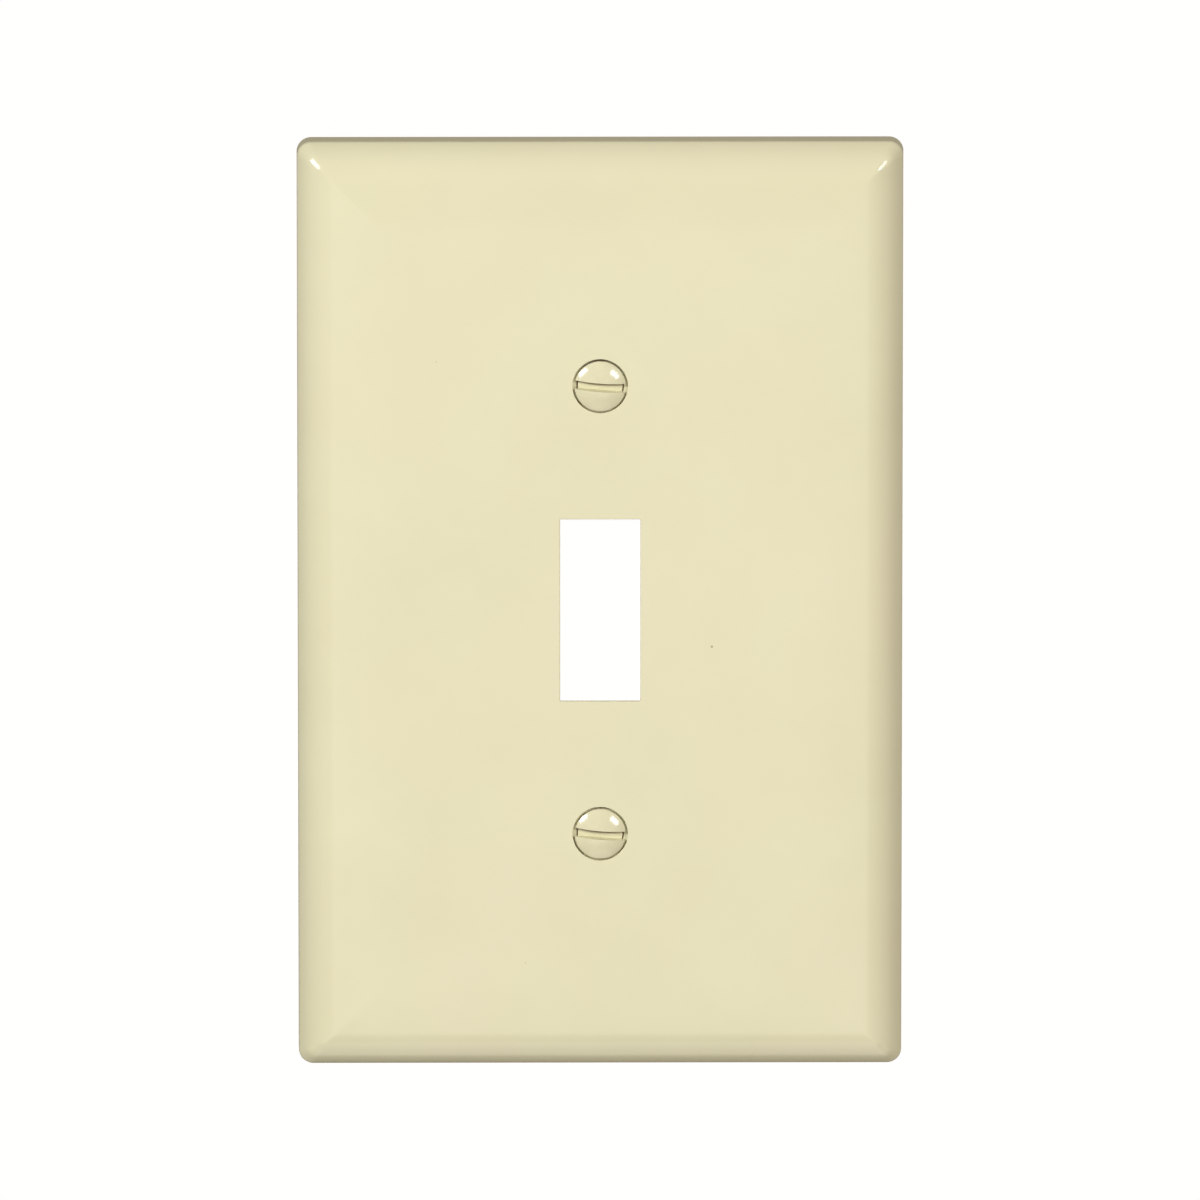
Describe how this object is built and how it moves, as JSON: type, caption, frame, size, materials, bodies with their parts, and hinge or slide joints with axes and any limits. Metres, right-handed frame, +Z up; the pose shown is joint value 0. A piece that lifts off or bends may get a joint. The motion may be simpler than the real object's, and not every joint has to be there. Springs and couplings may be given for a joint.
{
  "type": "toggle switch wall plate",
  "caption": "Mid-size single-gang wall plate for a toggle switch: hollow moulded shell with rolled edges, an open toggle slot and captive slotted oval-head screws.",
  "frame": {"origin": "centre of the plate's back rim, in the plane of the wall", "axes": "+Z up the wall, +X to the right seen from the front, +Y into the wall, so the face looks along -Y"},
  "size_m": [0.0792, 0.0137, 0.1244],
  "materials": {
    "ivory_plastic": "glossy ivory moulded plastic",
    "painted_steel": "ivory enamel on the head, bright zinc on the thread",
    "fibre": "matt vulcanised fibre"
  },
  "bodies": {
    "plate": {"wall_plate": "ivory_plastic"},
    "upper_retainer": {"upper_retainer": "fibre"},
    "upper_screw": {"upper_screw": "painted_steel"},
    "lower_retainer": {"lower_retainer": "fibre"},
    "lower_screw": {"lower_screw": "painted_steel"}
  },
  "joints": [
    {"name": "upper_slide", "type": "slide", "parent": "plate", "child": "upper_retainer", "axis": [0, -1, 0], "range_m": [0, 0.00176]},
    {"name": "upper_turn", "type": "hinge", "parent": "upper_retainer", "child": "upper_screw", "pos_m": [0, 0, 0.03016], "axis": [0, -1, 0], "continuous": true},
    {"name": "lower_slide", "type": "slide", "parent": "plate", "child": "lower_retainer", "axis": [0, -1, 0], "range_m": [0, 0.00176]},
    {"name": "lower_turn", "type": "hinge", "parent": "lower_retainer", "child": "lower_screw", "pos_m": [0, 0, -0.03016], "axis": [0, -1, 0], "continuous": true}
  ]
}
